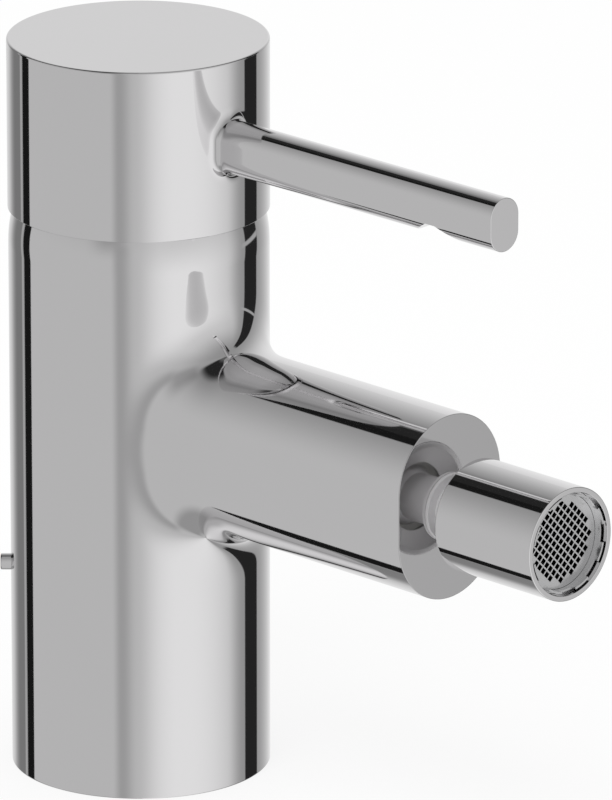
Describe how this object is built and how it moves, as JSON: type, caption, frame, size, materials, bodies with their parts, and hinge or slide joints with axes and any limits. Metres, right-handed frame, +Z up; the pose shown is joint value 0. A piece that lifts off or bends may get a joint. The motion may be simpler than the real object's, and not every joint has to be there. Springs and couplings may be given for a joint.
{
  "type": "bidet mixer",
  "caption": "Chrome single-lever bidet mixer: round column, oval spout with a swivelling ball-joint aerator, tilting lever cap over a ceramic cartridge, pop-up lift pin.",
  "frame": {"origin": "centre of the base where it meets the deck", "axes": "+Z up along the column, -Y along the spout and the lever, +X to the right seen from the spout's side as the user faces the mixer"},
  "size_m": [0.0502, 0.1399, 0.1451],
  "materials": {
    "chrome_body": "polished chrome plate over brass",
    "chrome_handle": "polished chrome plate over cast zinc",
    "chrome_barrel": "polished chrome plate over brass",
    "chrome_small": "polished chrome plate",
    "steel": "bright steel",
    "brass": "turned brass",
    "rubber_seal": "matte black rubber",
    "white_plastic": "matte moulded plastic",
    "grey_plastic": "matte moulded plastic",
    "blue_plastic": "matte moulded plastic",
    "aerator_plastic": "satin grey plastic",
    "black_plastic": "black moulded plastic",
    "ceramic": "lapped alumina ceramic"
  },
  "bodies": {
    "column": {"body": "chrome_body", "base_seal": "rubber_seal", "rod_guide_bush": "white_plastic", "cartridge_housing": "white_plastic", "cartridge_port_plate": "grey_plastic", "port_seals": "rubber_seal", "disc_seals": "rubber_seal", "fixed_ceramic_disc": "ceramic", "hot_limit_ring": "grey_plastic", "cartridge_nut": "brass", "cover_ring": "chrome_small", "ball_joint_nipple": "chrome_small", "nipple_seal": "rubber_seal"},
    "turret": {"stem_carrier": "blue_plastic", "stem_cross_pin": "steel"},
    "slider": {"disc_slider": "grey_plastic", "moving_ceramic_disc": "ceramic"},
    "handle": {"lever_handle": "chrome_handle", "handle_set_screw": "steel", "set_screw_plug": "grey_plastic", "stem": "steel"},
    "ball_seat": {"ball_seat_ring": "white_plastic"},
    "nozzle": {"aerator_barrel": "chrome_barrel", "ball_seal": "rubber_seal", "seal_retainer": "grey_plastic", "flow_regulator": "blue_plastic", "aerator_washer": "rubber_seal", "aerator_diffuser": "black_plastic", "aerator_insert": "aerator_plastic", "outlet_grille": "aerator_plastic"},
    "lift": {"lift_rod": "steel", "lift_pin": "chrome_small"}
  },
  "joints": [
    {"name": "lever_turn", "type": "hinge", "parent": "column", "child": "turret", "pos_m": [0, 0, 0.1047], "axis": [0, 0, 1], "range_deg": [-45, 45]},
    {"name": "lever_lift", "type": "hinge", "parent": "turret", "child": "handle", "pos_m": [0, 0, 0.1047], "axis": [-1, 0, 0], "range_deg": [0, 20]},
    {"name": "disc_slide", "type": "slide", "parent": "turret", "child": "slider", "axis": [0, -1, 0], "range_m": [0, 0.0038]},
    {"name": "nozzle_pan", "type": "hinge", "parent": "column", "child": "ball_seat", "pos_m": [0, -0.097, 0.0706], "axis": [0, 0, 1], "range_deg": [-12, 12]},
    {"name": "nozzle_tilt", "type": "hinge", "parent": "ball_seat", "child": "nozzle", "pos_m": [0, -0.097, 0.0706], "axis": [1, 0, 0], "range_deg": [-12, 12]},
    {"name": "lift_rod_slide", "type": "slide", "parent": "column", "child": "lift", "axis": [0, 0, 1], "range_m": [0, 0.022]}
  ],
  "couplings": [
    {"joint": "disc_slide", "follows": "lever_lift", "m_per_rad": 0.0105}
  ]
}
